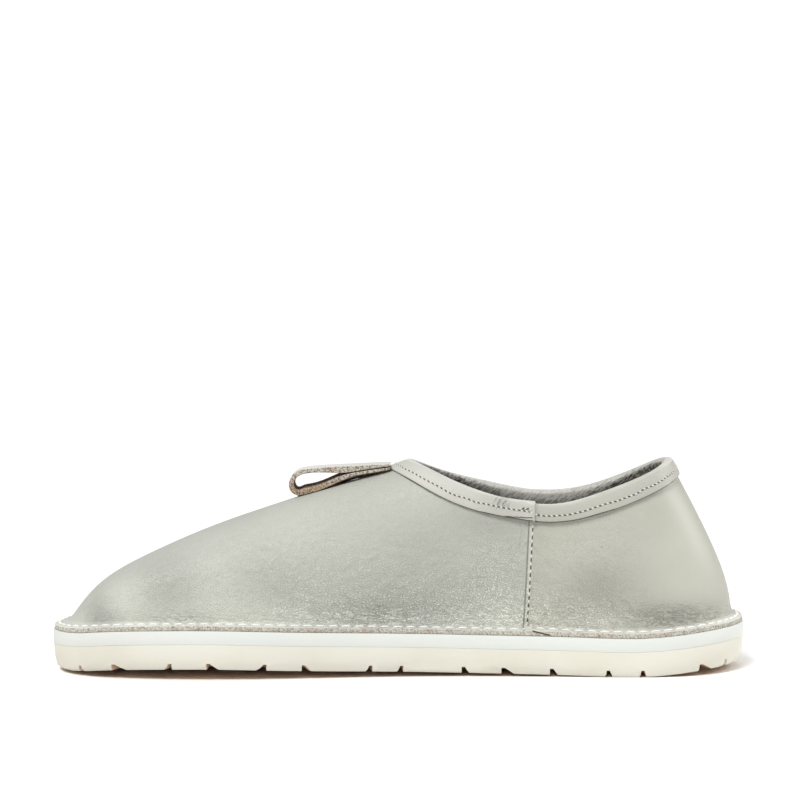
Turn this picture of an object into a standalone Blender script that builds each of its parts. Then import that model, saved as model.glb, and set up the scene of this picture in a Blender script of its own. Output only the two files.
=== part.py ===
"""Right stitch-down slip-on shoe: a soft leather upper turned out over a foam midsole and a lugged outsole.

All sizes are in millimetres and are written to the meshes in metres. +X points to the heel, +Y to the
outer side of the foot and +Z up. The origin is on the floor, under the middle of the sole.
"""
import math
from collections import namedtuple

import bmesh
import bpy
import numpy as np
from mathutils import Vector

MM = 0.001
GAP = 0.3

# Lengths and layer thicknesses
SOLE_LENGTH = 270.0
OUTSOLE_TOP = 9.65
MIDSOLE_BOTTOM = OUTSOLE_TOP + GAP
MIDSOLE_TOP = 14.6
FLANGE_BOTTOM = MIDSOLE_TOP + GAP
FLANGE_TOP = 17.2
FLANGE_WIDTH = 5.5
FLANGE_TRIM = 0.4
LAST_SHIFT = 0.9
WALL = 2.0
FILLET = 3.4
INSOLE_TOP = 16.6

# Side seam, where the quarter laps over the vamp; its foot leans forward, by a share of the drop from its top
SEAM_FROM_HEEL = 85.5
SEAM_TOP = 58.0
SEAM_LEAN = 0.06
SEAM_STEP = 0.5
LAP_RISE = 1.2
LAP_FADE = 16.0
LAP_CLEAR = 4.0

# Collar binding, folded over the collar edge
BINDING_THICK = 1.2
BINDING_INSIDE = 8.0
JOINT_FROM_HEEL = 83.6
JOINT_STEP = 0.3
JOINT_RISE = 1.1
JOINT_FADE = 13.0

# Pull loop strap
STRAP_WIDTH = 14.0
STRAP_SETBACK = 0.9

# Tread: grooves that open on the edge and narrow inward, and pockets along the middle
GROOVE_DEPTH = 2.6
GROOVE_LENGTH = 15.0
GROOVE_TOP = 1.5
GROOVE_TAPER = 0.45
POCKET_DEPTH = 2.0
POCKET_LENGTH = 15.0
POCKET_WIDTH = 11.0
POCKET_PITCH = 19.1
POCKET_COUNT = 11
POCKET_FIRST = 42.0

# How far the sole is drawn up off the floor at its heel back and its toe tip, and where that starts
HEEL_LIFT = 3.2
HEEL_LIFT_REACH = 47.0
TOE_LIFT = 0.9
TOE_LIFT_REACH = 16.0

# Mesh resolution
COLUMNS_HALF = 36
WALL_ROWS = 13
LINING_ROWS = 8
BINDING_COLUMNS_HALF = 32
ACROSS = 6
SHARP_ANGLE = math.radians(40.0)

# The sole's outline from heel (share 0) to toe (share 1): its middle line and half width
Plan = namedtuple("Plan", "share middle half_width")
SOLE_PLAN = (
    Plan(0.000, 0.0, 0.0),
    Plan(0.050, 0.0, 26.4),
    Plan(0.120, 0.0, 33.0),
    Plan(0.220, 1.1, 34.3),
    Plan(0.330, 3.0, 35.0),
    Plan(0.450, 5.1, 37.2),
    Plan(0.560, 6.2, 40.8),
    Plan(0.670, 6.5, 45.0),
    Plan(0.745, 6.3, 46.6),
    Plan(0.820, 5.2, 45.0),
    Plan(0.890, 2.6, 39.6),
    Plan(0.955, -2.2, 28.2),
    Plan(1.000, -9.0, 0.0),
)

# How far the sole's inner edge is drawn up off the floor; the lift fades out just past the middle line
Lift = namedtuple("Lift", "from_heel inner_edge")
INNER_LIFT = (
    Lift(0.0, 0.0),
    Lift(51.0, 0.0),
    Lift(72.0, 0.6),
    Lift(93.0, 1.0),
    Lift(135.0, 2.0),
    Lift(178.0, 3.2),
    Lift(207.0, 4.1),
    Lift(226.0, 3.9),
    Lift(242.0, 3.3),
    Lift(253.0, 2.3),
    Lift(262.0, 1.0),
    Lift(270.0, 0.0),
)
INNER_LIFT_PAST_MIDDLE = 0.1

# The last's sections along the feather line: height of its crest above the floor, how far the crest sits
# from the foot's straight axis, and how full the sides stand (2 is an ellipse, more is squarer)
Last = namedtuple("Last", "share crest crest_side fullness bulge")
LAST_SECTIONS = (
    Last(0.000, FLANGE_TOP, 0.0, 2.3, 0.5),
    Last(0.034, 47.8, 0.0, 2.3, 0.8),
    Last(0.087, 75.6, 0.0, 2.4, 1.2),
    Last(0.142, 100.2, 0.0, 2.5, 1.6),
    Last(0.250, 117.0, 0.5, 2.4, 1.6),
    Last(0.365, 101.0, 0.5, 2.1, 1.2),
    Last(0.485, 80.1, 0.0, 1.9, 1.0),
    Last(0.600, 70.6, -1.0, 1.9, 1.2),
    Last(0.690, 63.1, -2.0, 2.0, 1.5),
    Last(0.770, 56.0, -3.5, 2.1, 1.5),
    Last(0.875, 44.5, -6.5, 2.2, 1.2),
    Last(0.957, 32.5, -8.5, 2.2, 0.8),
    Last(0.988, 23.3, -8.8, 2.2, 0.6),
    Last(1.000, FLANGE_TOP, -9.0, 2.2, 0.5),
)
BULGE_HEIGHT = 30.0

# Collar along the foot: height of the binding's top edge on the inner and outer side of the foot, and how far
# the binding reaches down the outside
Collar = namedtuple("Collar", "from_heel inner outer binding")
COLLAR_LINE = (
    Collar(20.0, 82.6, 82.6, 8.0),
    Collar(27.0, 82.1, 82.1, 8.0),
    Collar(34.0, 79.4, 78.8, 8.0),
    Collar(42.0, 76.3, 75.0, 8.0),
    Collar(52.0, 72.5, 70.9, 8.0),
    Collar(63.0, 68.3, 67.7, 7.7),
    Collar(76.0, 64.9, 66.6, 7.2),
    Collar(87.0, 65.5, 67.6, 7.2),
    Collar(98.0, 67.7, 70.1, 7.8),
    Collar(110.0, 71.5, 73.0, 8.7),
    Collar(122.0, 76.9, 77.1, 9.7),
    Collar(131.0, 80.8, 80.8, 10.2),
    Collar(140.0, 82.2, 82.2, 10.2),
)

# Side outline of the pull loop, measured from its root at the throat: forward along the foot and up
Strap = namedtuple("Strap", "forward up")
STRAP_OUTER = (
    Strap(0.0, 2.6),
    Strap(10.5, 2.1),
    Strap(21.0, 1.6),
    Strap(30.5, 0.9),
    Strap(35.1, 0.0),
    Strap(37.9, -2.7),
    Strap(38.7, -5.5),
    Strap(37.6, -8.3),
    Strap(35.2, -9.7),
    Strap(31.5, -8.7),
    Strap(26.2, -6.9),
    Strap(12.4, -3.0),
    Strap(0.0, 0.6),
)
STRAP_HOLE = (
    Strap(19.1, -1.8),
    Strap(24.8, -0.6),
    Strap(30.5, -0.8),
    Strap(34.4, -1.7),
    Strap(36.6, -4.3),
    Strap(36.2, -6.7),
    Strap(34.4, -7.6),
    Strap(30.5, -6.4),
    Strap(24.8, -4.4),
)

# Grooves on each edge of the sole: distance from the toe, width of the mouth at the floor, and which side is a
# ramp: the heel side (1), the toe side (-1) or neither (0)
Groove = namedtuple("Groove", "from_toe mouth ramp")
GROOVES = (
    Groove(12.5, 2.6, 0),
    Groove(25.4, 6.5, 1),
    Groove(48.8, 5.0, -1),
    Groove(62.0, 5.2, 1),
    Groove(84.8, 6.5, -1),
    Groove(98.0, 4.0, 1),
    Groove(124.7, 4.0, -1),
    Groove(136.4, 3.6, -1),
    Groove(158.5, 3.2, 1),
    Groove(173.6, 5.5, 1),
    Groove(192.0, 3.4, 1),
    Groove(214.2, 3.4, 0),
    Groove(227.3, 3.2, 0),
    Groove(249.5, 6.5, 1),
    Groove(261.0, 2.6, 0),
)

SOLE_HALF = SOLE_LENGTH / 2.0
LAST_HALF = SOLE_HALF - FLANGE_WIDTH


def angle_of(share):
    """Angle around the outline, 0 at the heel and pi at the toe, at a share of the length."""
    return math.acos(max(-1.0, min(1.0, 1.0 - 2.0 * share)))


def spline(knots, values):
    """Cubic curve through the rows of a table, free of bend at both ends."""
    knots = np.array(knots)
    values = np.array(values)
    steps = np.diff(knots)
    slopes = np.diff(values) / steps
    count = len(knots)
    system = np.eye(count)
    target = np.zeros(count)
    for i in range(1, count - 1):
        system[i, i - 1:i + 2] = steps[i - 1], 2.0 * (steps[i - 1] + steps[i]), steps[i]
        target[i] = 6.0 * (slopes[i] - slopes[i - 1])
    bend = np.linalg.solve(system, target)

    def at(where):
        where = min(max(where, knots[0]), knots[-1])
        i = min(max(int(np.searchsorted(knots, where)) - 1, 0), count - 2)
        left = (knots[i + 1] - where) / steps[i]
        right = 1.0 - left
        curve = (left ** 3 - left) * bend[i] + (right ** 3 - right) * bend[i + 1]
        return float(left * values[i] + right * values[i + 1] + curve * steps[i] ** 2 / 6.0)

    return at


def along_angle(table, column):
    """Curve of one column of a table that runs by share of the length."""
    return spline([angle_of(row.share) for row in table], [getattr(row, column) for row in table])


def smooth_step(start, end, value):
    """0 before start and 1 past end, with an even rise between."""
    t = min(max((value - start) / (end - start), 0.0), 1.0)
    return t * t * (3.0 - 2.0 * t)


plan_middle = along_angle(SOLE_PLAN, "middle")
plan_half = along_angle(SOLE_PLAN, "half_width")
crest_height = along_angle(LAST_SECTIONS, "crest")
crest_side = along_angle(LAST_SECTIONS, "crest_side")
fullness = along_angle(LAST_SECTIONS, "fullness")
bulge = along_angle(LAST_SECTIONS, "bulge")
inner_lift = spline([row.from_heel for row in INNER_LIFT], [row.inner_edge for row in INNER_LIFT])
collar_knots = [row.from_heel for row in COLLAR_LINE]
collar_inner = spline(collar_knots, [row.inner for row in COLLAR_LINE])
collar_outer = spline(collar_knots, [row.outer for row in COLLAR_LINE])
binding_reach = spline(collar_knots, [row.binding for row in COLLAR_LINE])

EDGE_ANGLES = np.linspace(0.0, math.pi, 400)
SIDE_SHIFT = 0.5 * (
    max(plan_middle(a) + plan_half(a) for a in EDGE_ANGLES)
    + min(plan_middle(a) - plan_half(a) for a in EDGE_ANGLES)
)

CREST_ANGLES = np.linspace(0.0, math.pi, 6000)
CREST_HEIGHTS = np.array([crest_height(a) for a in CREST_ANGLES])
CREST_TOP = int(CREST_HEIGHTS.argmax())


def lift(x, y):
    """Height by which the sole stands off the floor at a place in plan."""
    angle = math.acos(max(-1.0, min(1.0, x / SOLE_HALF)))
    inward = (plan_middle(angle) - SIDE_SHIFT - y) / max(plan_half(angle), 1.0)
    inner = max(inner_lift(SOLE_HALF - x), 0.0) * smooth_step(-INNER_LIFT_PAST_MIDDLE, 1.0, inward)
    heel = HEEL_LIFT * smooth_step(SOLE_HALF - HEEL_LIFT_REACH, SOLE_HALF, x)
    toe = TOE_LIFT * smooth_step(SOLE_HALF - TOE_LIFT_REACH, SOLE_HALF, -x)
    return inner + heel + toe


def placed(x, y, z):
    """Finished place of a point worked out on a flat sole, in metres."""
    y -= SIDE_SHIFT
    return Vector((x, y, z + lift(x, y))) * MM


def outline(turn, inset):
    """Plan point of the sole's outline, moved inward; turn runs heel, inner side, toe, outer side."""
    angle = turn if turn <= math.pi else 2.0 * math.pi - turn
    side = -1.0 if turn <= math.pi else 1.0
    half = plan_half(angle) - inset * math.sin(angle)
    x = (SOLE_HALF - inset) * math.cos(angle) + LAST_SHIFT * inset / FLANGE_WIDTH
    return x, plan_middle(angle) + side * half


def level_ends(z):
    """Where the level line at a height meets the crest behind and in front."""
    back = np.interp(z, CREST_HEIGHTS[:CREST_TOP + 1], CREST_ANGLES[:CREST_TOP + 1])
    front = np.interp(-z, -CREST_HEIGHTS[CREST_TOP:], CREST_ANGLES[CREST_TOP:])
    return LAST_HALF * math.cos(back) + LAST_SHIFT, LAST_HALF * math.cos(front) + LAST_SHIFT


def last_point(turn, z):
    """Point on the last's surface at a height, by its turn around the level line there."""
    turn %= 2.0 * math.pi
    back, front = level_ends(z)
    x = 0.5 * (back + front) + 0.5 * (back - front) * math.cos(turn)
    angle = math.acos(max(-1.0, min(1.0, (x - LAST_SHIFT) / LAST_HALF)))
    rise = (z - FLANGE_TOP) / max(crest_height(angle) - FLANGE_TOP, 1e-6)
    rise = min(max(rise, 0.0), 1.0)
    half = plan_half(angle) - FLANGE_WIDTH * math.sin(angle)
    shrink = math.sqrt(max(1.0 - rise ** fullness(angle), 0.0))
    swell = min((z - FLANGE_TOP) / BULGE_HEIGHT, 1.0)
    half = half * shrink + bulge(angle) * 4.0 * swell * (1.0 - swell) * abs(math.sin(turn)) * shrink
    middle = plan_middle(angle) + (crest_side(angle) - plan_middle(angle)) * rise ** 1.5
    side = -1.0 if turn <= math.pi else 1.0
    return Vector((x, middle + side * half, z))


def seam_turn(z):
    """Turn at which the level line at a height crosses the side seam."""
    back, front = level_ends(z)
    x = SOLE_HALF - SEAM_FROM_HEEL - SEAM_LEAN * (SEAM_TOP - z)
    return math.acos(max(-1.0, min(1.0, (2.0 * x - back - front) / (back - front))))


SEAM_COLUMN = seam_turn(FLANGE_TOP)


def column_turn(column, z):
    """Turn of a mesh column at a height, so that the seam's own column stands upright."""
    sway = (seam_turn(z) - SEAM_COLUMN) / math.sin(SEAM_COLUMN)
    return column + sway * math.sin(column)


def wall_point(column, z):
    """Outer face of the upper on one column."""
    return last_point(column_turn(column, z), z)


def wall_normal(column, z):
    """Outward direction of the upper's outer face."""
    step = 0.03
    around = wall_point(column + step, z) - wall_point(column - step, z)
    low = max(z - 0.3, FLANGE_TOP + 0.05)
    up = wall_point(column, z + 0.3) - wall_point(column, low)
    return up.cross(around).normalized()


def collar_line(column, x):
    """Height of the collar's side line at a place along the foot, on the side that the column is on."""
    return collar_outer(SOLE_HALF - x) if column > math.pi else collar_inner(SOLE_HALF - x)


def collar_top(column):
    """Height of the binding's top edge on one column."""
    low, high = 40.0, 90.0
    for _ in range(40):
        middle = 0.5 * (low + high)
        if middle < collar_line(column, wall_point(column, middle).x):
            low = middle
        else:
            high = middle
    return low


def binding_depth(column):
    """How far the binding reaches down the outside on one column."""
    return binding_reach(SOLE_HALF - wall_point(column, collar_top(column)).x)


def below_collar(column, depth):
    """Height on a column at a walked distance below the binding's top edge."""
    z = collar_top(column)
    here = wall_point(column, z)
    left = depth
    while left > 0.0:
        lower = wall_point(column, z - 0.2)
        walked = (lower - here).length
        z -= 0.2 * min(left / walked, 1.0)
        left -= walked
        here = lower
    return z


def turn_columns(count, extra):
    """Columns around the shoe, closer together at heel and toe, with the given ones added."""
    half = [math.pi * i / count for i in range(count + 1)]
    half = [t + 0.14 * math.sin(2.0 * t) for t in half]
    nearest = min(range(1, count), key=lambda i: abs(half[i] - extra[0]))
    half[nearest:nearest + 1] = extra
    return half + [2.0 * math.pi - t for t in reversed(half[1:-1])]


def lap(column):
    """How far the quarter's edge stands over the vamp on one column."""
    column = column if column <= math.pi else 2.0 * math.pi - column
    if column > SEAM_COLUMN + 1e-4:
        return 0.0
    behind = LAST_HALF * (math.cos(column) - math.cos(SEAM_COLUMN))
    return LAP_RISE * (1.0 - smooth_step(0.0, LAP_FADE, behind))


def material(name, color, roughness):
    """Plain coloured material."""
    made = bpy.data.materials.new(name)
    made.use_nodes = True
    shader = made.node_tree.nodes["Principled BSDF"]
    shader.inputs["Base Color"].default_value = (*color, 1.0)
    shader.inputs["Roughness"].default_value = roughness
    return made


def finish(name, bm, home, surface):
    """Turn a built mesh into a named object in its collection, smooth but for its sharp edges."""
    bmesh.ops.recalc_face_normals(bm, faces=bm.faces)
    for face in bm.faces:
        face.smooth = True
    mesh = bpy.data.meshes.new(name)
    bm.to_mesh(mesh)
    bm.free()
    mesh.set_sharp_from_angle(angle=SHARP_ANGLE)
    made = bpy.data.objects.new(name, mesh)
    home.objects.link(made)
    if surface:
        mesh.materials.append(surface)
    return made


def ring_loft(rows):
    """Closed tube of faces through rows of points; each row runs around the shoe."""
    bm = bmesh.new()
    rings = [[bm.verts.new(point) for point in row] for row in rows]
    count = len(rows[0])
    for j, ring in enumerate(rings):
        above = rings[(j + 1) % len(rings)]
        for i in range(count):
            k = (i + 1) % count
            bm.faces.new((ring[i], ring[k], above[k], above[i]))
    return bm


def slab_loft(levels):
    """Closed slab whose edge passes through (inset, height) levels, with both broad faces filled across."""
    bm = bmesh.new()
    turns = turn_columns(COLUMNS_HALF, [SEAM_COLUMN])
    count = len(turns)
    half = count // 2
    rings = []
    for inset, z in levels:
        rings.append([bm.verts.new(placed(*outline(turn, inset), z)) for turn in turns])
    for low, high in zip(rings, rings[1:]):
        for i in range(count):
            k = (i + 1) % count
            bm.faces.new((low[i], low[k], high[k], high[i]))
    for ring, (inset, z) in ((rings[0], levels[0]), (rings[-1], levels[-1])):
        lines = []
        for i in range(1, half):
            inner = outline(turns[i], inset)
            outer = outline(turns[count - i], inset)
            line = [ring[i]]
            for n in range(1, ACROSS):
                part = n / ACROSS
                x = inner[0] + (outer[0] - inner[0]) * part
                y = inner[1] + (outer[1] - inner[1]) * part
                line.append(bm.verts.new(placed(x, y, z)))
            line.append(ring[count - i])
            lines.append(line)
        for here, ahead in zip(lines, lines[1:]):
            for n in range(ACROSS):
                bm.faces.new((here[n], here[n + 1], ahead[n + 1], ahead[n]))
        for tip, line in ((ring[0], lines[0]), (ring[half], lines[-1])):
            for n in range(ACROSS):
                bm.faces.new((tip, line[n], line[n + 1]))
    return bm


def add_prism(bm, base, top):
    """Closed block between two loops of points."""
    low = [bm.verts.new(point) for point in base]
    high = [bm.verts.new(point) for point in top]
    count = len(low)
    bm.faces.new(low)
    bm.faces.new(high)
    for i in range(count):
        k = (i + 1) % count
        bm.faces.new((low[i], low[k], high[k], high[i]))


def edge_groove(bm, groove, outer_side):
    """Tread groove across the sole's edge; a ramp side slopes from the groove's top out to the floor."""
    angle = math.acos((groove.from_toe - SOLE_HALF) / SOLE_HALF)
    turn = 2.0 * math.pi - angle if outer_side else angle
    start = Vector(outline(turn, 0.0))
    ahead = Vector(outline(turn + 0.01, 0.0)) - Vector(outline(turn - 0.01, 0.0))
    inward = Vector((ahead.y, -ahead.x)).normalized()
    aside = Vector((-inward.y, inward.x))
    if aside.x < 0.0:
        aside.negate()
    mouth_end = start - inward * 4.0
    inner_end = start + inward * GROOVE_LENGTH
    levels = []
    for z, width in ((-GROOVE_DEPTH, 2.0 * groove.mouth - GROOVE_TOP), (GROOVE_DEPTH, GROOVE_TOP)):
        near = -0.5 * width if groove.ramp == 0 else min(groove.ramp, 0) * width
        far = near + width
        corners = (
            mouth_end + aside * near,
            mouth_end + aside * far,
            inner_end + aside * far * GROOVE_TAPER,
            inner_end + aside * near * GROOVE_TAPER,
        )
        levels.append([placed(corner.x, corner.y, z) for corner in corners])
    add_prism(bm, *levels)


def middle_pocket(bm, from_toe):
    """Diamond-shaped tread pocket on the middle line."""
    x = from_toe - SOLE_HALF
    y = plan_middle(math.acos(x / SOLE_HALF))
    half_long = POCKET_LENGTH / 2.0
    half_wide = POCKET_WIDTH / 2.0
    corners = ((x - half_long, y), (x, y - half_wide), (x + half_long, y), (x, y + half_wide))
    base = [placed(a, b, -4.0) for a, b in corners]
    top = [placed(a, b, POCKET_DEPTH) for a, b in corners]
    add_prism(bm, base, top)


def build_upper():
    """Leather wall with its lower edge turned out into the flange."""
    columns = turn_columns(COLUMNS_HALF, [SEAM_COLUMN, SEAM_COLUMN + SEAM_STEP / LAST_HALF])
    edge_depth = BINDING_THICK + GAP
    tops = [below_collar(column, edge_depth) for column in columns]
    depths = [binding_depth(column) for column in columns]
    base = FLANGE_TOP + FILLET
    rows = []
    for j in range(WALL_ROWS + 1):
        row = []
        for column, top, depth in zip(columns, tops, depths):
            z = base + (top - base) * j / WALL_ROWS
            clear = smooth_step(depth, depth + LAP_CLEAR, top - z)
            out = lap(column) * clear
            row.append(wall_point(column, z) + wall_normal(column, z) * out)
        rows.append(row)
    for j in range(LINING_ROWS + 1):
        row = []
        for column, top in zip(columns, tops):
            z = top + (base - top) * j / LINING_ROWS
            row.append(wall_point(column, z) - wall_normal(column, z) * WALL)
        rows.append(row)
    skirt = (
        (FLANGE_WIDTH + WALL, FLANGE_BOTTOM, 0.0),
        (FLANGE_TRIM, FLANGE_BOTTOM, 0.0),
        (FLANGE_TRIM, FLANGE_TOP - 0.5, 0.4),
        (FLANGE_TRIM + 0.6, FLANGE_TOP, 0.5),
        (FLANGE_WIDTH - 2.0, FLANGE_TOP, 0.5),
        (FLANGE_WIDTH - 0.7, FLANGE_TOP + 0.8, 0.6),
    )
    for inset, z, share in skirt:
        row = []
        for column in columns:
            x, y = outline(column, inset)
            row.append(Vector((x, y, z + lap(column) * share)))
        rows.append(row)
    return ring_loft([[placed(*point) for point in row] for row in rows])


def binding_section(deep):
    """Profile of the folded strip: distance below its top edge, and outward from the upper's outer face."""
    face = GAP + BINDING_THICK
    back = -WALL - GAP
    return (
        (deep, GAP),
        (deep, face - 0.3),
        (deep - 0.7, face),
        (3.4, face),
        (1.2, face - 0.35),
        (0.0, -0.5),
        (0.0, -1.6),
        (1.2, back - BINDING_THICK + 0.35),
        (3.4, back - BINDING_THICK),
        (BINDING_INSIDE, back - BINDING_THICK),
        (BINDING_INSIDE, back),
        (BINDING_THICK + 0.1, back),
        (BINDING_THICK + 0.1, GAP),
    )


def build_binding():
    """Strip folded over the collar edge, its front end lapped over its rear end on the inner side."""
    back, front = level_ends(collar_top(SEAM_COLUMN))
    span = 0.5 * (back - front)
    joint = SEAM_COLUMN - (SEAM_FROM_HEEL - JOINT_FROM_HEEL) / span
    columns = turn_columns(BINDING_COLUMNS_HALF, [joint, joint + JOINT_STEP / span])
    bands = []
    for column in columns:
        ahead = (column - joint) * span
        proud = 0.0
        if 0.0 < ahead < JOINT_FADE:
            proud = JOINT_RISE * (1.0 - smooth_step(0.0, JOINT_FADE, ahead))
        band = []
        for depth, out in binding_section(binding_depth(column)):
            z = below_collar(column, depth)
            out = out + proud if out > GAP else out
            point = wall_point(column, z) + wall_normal(column, z) * out
            if depth < 1.25 and out > -2.0:
                point.z += proud * 0.8
            band.append(placed(*point))
        bands.append(band)
    return ring_loft(list(zip(*bands)))


def build_loop(home, surface):
    """Teardrop strap standing on the vamp in front of the binding."""
    root_z = below_collar(math.pi, binding_depth(math.pi) + STRAP_SETBACK)
    root = wall_point(math.pi, root_z)
    data = bpy.data.curves.new("pull_loop", "CURVE")
    data.dimensions = "2D"
    data.fill_mode = "BOTH"
    data.extrude = STRAP_WIDTH / 2.0 * MM
    data.resolution_u = 5
    for table in (STRAP_OUTER, STRAP_HOLE):
        line = data.splines.new("BEZIER")
        line.bezier_points.add(len(table) - 1)
        for knot, row in zip(line.bezier_points, table):
            knot.co = (-row.forward * MM, row.up * MM, 0.0)
            knot.handle_left_type = "AUTO"
            knot.handle_right_type = "AUTO"
        line.use_cyclic_u = True
    outer = data.splines[0].bezier_points
    for knot in (outer[0], outer[-1]):
        knot.handle_left_type = "VECTOR"
        knot.handle_right_type = "VECTOR"
    made = bpy.data.objects.new("pull_loop", data)
    made.location = placed(root.x, root.y, root.z + GAP)
    made.rotation_euler = (math.pi / 2.0, 0.0, 0.0)
    data.materials.append(surface)
    home.objects.link(made)
    return made


for old in list(bpy.data.objects):
    bpy.data.objects.remove(old, do_unlink=True)

shoe = bpy.data.collections.new("slip_on_shoe")
bpy.context.scene.collection.children.link(shoe)
cutters = bpy.data.collections.new("cutters")
bpy.context.scene.collection.children.link(cutters)

leather = material("grey_leather", (0.52, 0.53, 0.47), 0.6)
binding_leather = material("binding_leather", (0.48, 0.48, 0.43), 0.6)
strap_leather = material("strap_leather", (0.46, 0.45, 0.41), 0.7)
insole_leather = material("insole_leather", (0.40, 0.38, 0.33), 0.8)
white_foam = material("white_foam", (0.84, 0.84, 0.80), 0.7)
cream_rubber = material("cream_rubber", (0.80, 0.76, 0.66), 0.6)

# Outsole slab with its tread cut into the floor side
outsole_levels = ((2.4, 0.0), (1.2, 1.0), (0.5, 4.5), (0.1, OUTSOLE_TOP))
outsole = finish("outsole", slab_loft(outsole_levels), shoe, cream_rubber)
tread = bmesh.new()
for row in GROOVES:
    edge_groove(tread, row, False)
    edge_groove(tread, row, True)
for pocket in range(POCKET_COUNT):
    middle_pocket(tread, POCKET_FIRST + POCKET_PITCH * pocket)
tread_cutter = finish("tread_cutter", tread, cutters, None)
tread_cutter.hide_render = True
tread_cutter.display_type = "WIRE"
cut = outsole.modifiers.new("tread", "BOOLEAN")
cut.operation = "DIFFERENCE"
cut.solver = "EXACT"
cut.use_self = True
cut.object = tread_cutter

# Midsole sheet
finish("midsole", slab_loft(((0.0, MIDSOLE_BOTTOM), (0.0, MIDSOLE_TOP))), shoe, white_foam)

# Upper, and the insole inside it
finish("upper", build_upper(), shoe, leather)
insole_inset = FLANGE_WIDTH + WALL + GAP + 0.2
insole_levels = ((insole_inset, FLANGE_BOTTOM), (insole_inset, INSOLE_TOP))
finish("insole", slab_loft(insole_levels), shoe, insole_leather)

# Binding over the collar, and the loop in front of it
finish("collar_binding", build_binding(), shoe, binding_leather)
build_loop(shoe, strap_leather)
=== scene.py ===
"""Looks of the slip-on shoe: grained leather, raw cut edges, thread, foam and rubber on a white floor."""

import math
from collections import namedtuple

import bpy
import numpy as np
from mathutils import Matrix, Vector
from mathutils.bvhtree import BVHTree


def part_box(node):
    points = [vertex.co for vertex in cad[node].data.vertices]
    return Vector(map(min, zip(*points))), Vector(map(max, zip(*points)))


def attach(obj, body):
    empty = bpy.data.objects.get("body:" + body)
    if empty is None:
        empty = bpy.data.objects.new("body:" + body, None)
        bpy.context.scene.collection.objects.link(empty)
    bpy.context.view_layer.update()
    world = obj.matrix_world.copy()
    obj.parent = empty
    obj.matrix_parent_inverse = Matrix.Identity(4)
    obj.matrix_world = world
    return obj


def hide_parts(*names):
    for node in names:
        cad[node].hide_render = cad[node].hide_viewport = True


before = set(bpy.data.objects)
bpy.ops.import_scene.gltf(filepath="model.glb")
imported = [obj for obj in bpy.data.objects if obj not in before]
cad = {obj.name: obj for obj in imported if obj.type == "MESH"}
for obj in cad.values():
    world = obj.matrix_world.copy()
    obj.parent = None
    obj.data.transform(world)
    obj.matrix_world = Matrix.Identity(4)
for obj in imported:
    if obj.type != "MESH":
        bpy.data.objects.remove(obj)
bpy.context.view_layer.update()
MM = 0.001


# Outsole: a moulded slab of matt cream rubber with lugs notched into its lower edge. It is cemented under the
# midsole; its moulded edges are slightly rounded. Its underside and notches are painted brown as painted
# shade, and the walls of the notches a warm tone as painted bounce light.
def taken_from(node, name):
    """New piece with a CAD node's faces, merged into quads; it is left selected and active."""
    bpy.ops.object.select_all(action="DESELECT")
    piece = bpy.data.objects.new(name, cad[node].data.copy())
    bpy.context.scene.collection.objects.link(piece)
    piece.data.materials.clear()
    bpy.context.view_layer.objects.active = piece
    piece.select_set(True)
    bpy.ops.object.mode_set(mode="EDIT")
    bpy.ops.mesh.select_all(action="SELECT")
    bpy.ops.mesh.remove_doubles(threshold=0.01 * MM)
    bpy.ops.mesh.tris_convert_to_quads(face_threshold=math.radians(50), shape_threshold=math.radians(70))
    bpy.ops.object.mode_set(mode="OBJECT")
    bpy.ops.mesh.customdata_custom_splitnormals_clear()
    return piece


def modified(piece, kind, **settings):
    """A modifier put on the active piece and applied."""
    modifier = piece.modifiers.new(kind.lower(), kind)
    for setting, value in settings.items():
        setattr(modifier, setting, value)
    bpy.ops.object.modifier_apply(modifier=modifier.name)


def node_group(name, inputs, outputs):
    """Empty shader group with named sockets; gives its tree, its input node and its output node."""
    tree = bpy.data.node_groups.new(name, "ShaderNodeTree")
    for label, value in inputs.items():
        kind = "NodeSocketColor" if isinstance(value, tuple) else "NodeSocketFloat"
        tree.interface.new_socket(label, in_out="INPUT", socket_type=kind).default_value = value
    for label, kind in outputs.items():
        tree.interface.new_socket(label, in_out="OUTPUT", socket_type=kind)
    return tree, tree.nodes.new("NodeGroupInput"), tree.nodes.new("NodeGroupOutput")


def feed(tree, socket, value):
    """Input socket given a value, or a link from another node's socket."""
    if isinstance(value, bpy.types.NodeSocket):
        tree.links.new(value, socket)
    else:
        socket.default_value = value


def add(tree, kind, settings=None, **inputs):
    """Node in a tree; an input is a value or another node's socket, with _ for the spaces in its name."""
    node = tree.nodes.new(kind)
    for setting, value in (settings or {}).items():
        setattr(node, setting, value)
    for label, value in inputs.items():
        sockets = [s for s in node.inputs if s.enabled and s.name == label.replace("_", " ")]
        feed(tree, sockets[0], value)
    return node


def place_of(tree):
    """Socket of the place on the piece, in the shoe's own coordinates."""
    return tree.nodes.new("ShaderNodeTexCoord").outputs["Object"]


def math_node(tree, operation, a, b=0.0, c=0.0, clamp=False):
    """Math node on up to three values or sockets; gives its output."""
    node = tree.nodes.new("ShaderNodeMath")
    node.operation = operation
    node.use_clamp = clamp
    for socket, value in zip(node.inputs, (a, b, c)):
        feed(tree, socket, value)
    return node.outputs[0]


def mixed(tree, factor, a, b, blend="MIX"):
    """Colour mix of two colours or sockets; gives its output."""
    node = tree.nodes.new("ShaderNodeMix")
    node.data_type = "RGBA"
    node.blend_type = blend
    for socket, value in zip((node.inputs[0], node.inputs[6], node.inputs[7]), (factor, a, b)):
        feed(tree, socket, value)
    return node.outputs[2]


def ranged(tree, value, low, high, to_low=0.0, to_high=1.0):
    """Smooth change from one value to another as an input goes from low to high."""
    node = add(tree, "ShaderNodeMapRange", {"interpolation_type": "SMOOTHSTEP"},
               Value=value, From_Min=low, From_Max=high, To_Min=to_low, To_Max=to_high)
    return node.outputs[0]


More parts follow.
